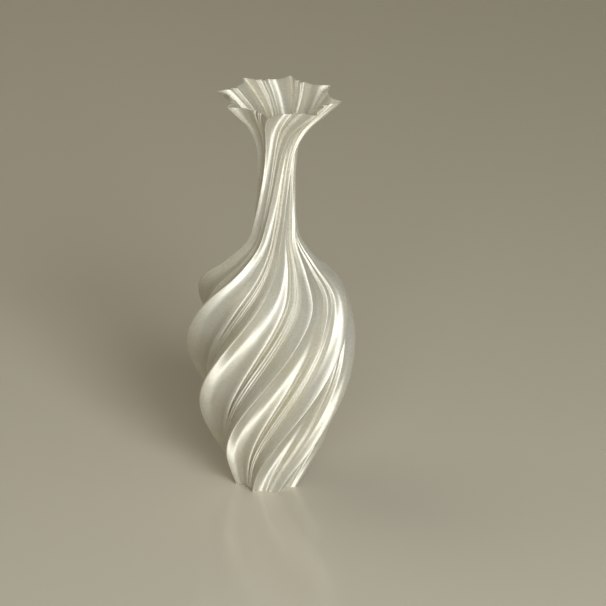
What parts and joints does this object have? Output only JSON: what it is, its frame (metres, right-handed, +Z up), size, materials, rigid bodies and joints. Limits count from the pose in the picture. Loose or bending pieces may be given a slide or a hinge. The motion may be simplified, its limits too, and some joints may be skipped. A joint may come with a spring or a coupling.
{
  "type": "vase",
  "caption": "Tall one-piece printed vase with a twisted fluted belly, a slim neck and an open star-shaped mouth.",
  "frame": {"origin": "centre of the flat underside, on the surface that the vase stands on", "axes": "+Z up the vase's centre line to the mouth; -Y faces the viewer, +X to the viewer's right"},
  "size_m": [0.1216, 0.1216, 0.3],
  "materials": {
    "silk_filament": "pearl-white silk filament, satin sheen with fine level print layers"
  },
  "bodies": {
    "root": {"vase": "silk_filament"}
  },
  "joints": []
}
